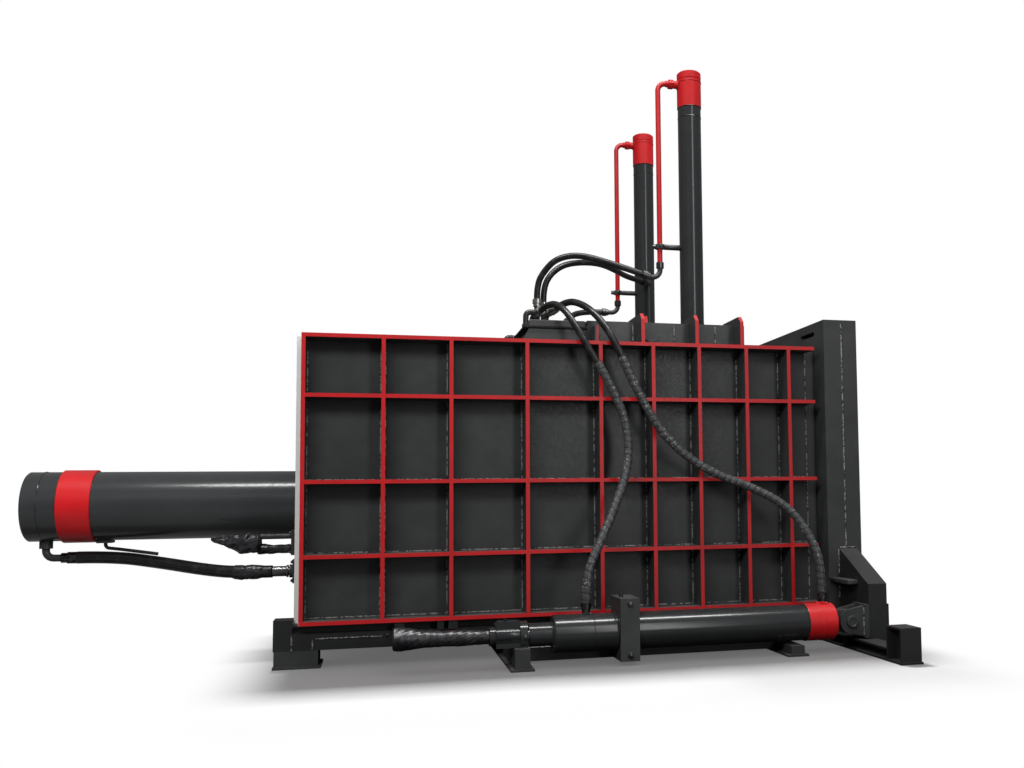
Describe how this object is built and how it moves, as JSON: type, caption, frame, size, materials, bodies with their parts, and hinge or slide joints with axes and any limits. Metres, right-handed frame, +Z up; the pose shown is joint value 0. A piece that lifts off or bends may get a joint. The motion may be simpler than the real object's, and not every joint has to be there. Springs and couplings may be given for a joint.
{
  "type": "horizontal hydraulic recycling baler",
  "caption": "Horizontal hydraulic baler: ribbed box chamber, main ram behind, vertical press cylinders on the crown, side cylinders that draw the end gate, hoses.",
  "frame": {"origin": "on the ground, on the centre plane of the machine, under the middle of the middle cross foot", "axes": "+X along the machine from the main cylinder towards the bale gate, +Y towards the far side of the picture, +Z up"},
  "size_m": [5.8546, 4.196, 4.3409],
  "materials": {
    "black_paint": "satin",
    "gloss_black_paint": "gloss",
    "red_paint": "satin",
    "rod_chrome": "polished",
    "bare_steel": "dull",
    "hose_rubber": "matte",
    "wrap_film": "creased"
  },
  "bodies": {
    "chamber": {"wall_near": "black_paint", "wall_far": "black_paint", "floor_plate": "bare_steel", "rear_plate": "black_paint", "rear_cover": "black_paint", "feed_roof": "black_paint", "hose_tray": "black_paint", "crown_beam": "black_paint", "crown_gussets": "black_paint", "front_cover": "black_paint", "skids": "black_paint", "rear_feet": "black_paint", "middle_foot": "black_paint", "front_foot": "black_paint", "guide_rails": "black_paint", "main_barrel": "gloss_black_paint", "main_cap": "gloss_black_paint", "main_band": "red_paint", "press_barrel_near": "gloss_black_paint", "press_barrel_far": "gloss_black_paint", "press_cap_near": "red_paint", "press_cap_far": "red_paint", "press_pipe_near": "red_paint", "press_pipe_far": "red_paint", "pipe_clamps": "black_paint", "rod_anchor_near": "black_paint", "rod_anchor_far": "black_paint", "side_rod_near": "rod_chrome", "side_rod_far": "rod_chrome", "rod_films": "wrap_film", "manifolds": "black_paint", "pipework": "black_paint", "hose_ferrules": "bare_steel", "main_pipes": "black_paint", "return_pipes": "black_paint", "return_wrap": "wrap_film", "hose_head_near": "hose_rubber", "hose_head_far": "hose_rubber", "hose_cap_near": "hose_rubber", "hose_cap_far": "hose_rubber", "hose_press_outer": "hose_rubber", "hose_press_inner": "hose_rubber", "hose_press_far": "hose_rubber", "hose_main": "hose_rubber"},
    "main_ram": {"platen": "bare_steel", "main_rod": "rod_chrome"},
    "top_press": {"press_head": "bare_steel", "press_rods": "rod_chrome"},
    "end_gate": {"gate_slab": "black_paint", "gate_frame": "black_paint", "gate_arms": "black_paint", "ground_beam": "black_paint", "clevises": "black_paint", "clevis_pins": "black_paint", "side_barrel_near": "gloss_black_paint", "side_barrel_far": "gloss_black_paint", "side_cap_near": "red_paint", "side_cap_far": "red_paint", "guide_shoes": "black_paint", "side_ferrules": "bare_steel"}
  },
  "joints": [
    {"name": "ram_stroke", "type": "slide", "parent": "chamber", "child": "main_ram", "axis": [1, 0, 0], "range_m": [0, 1.52]},
    {"name": "press_stroke", "type": "slide", "parent": "chamber", "child": "top_press", "axis": [0, 0, -1], "range_m": [0, 1.2]},
    {"name": "gate_stroke", "type": "slide", "parent": "chamber", "child": "end_gate", "axis": [1, 0, 0], "range_m": [0, 0.9]}
  ]
}
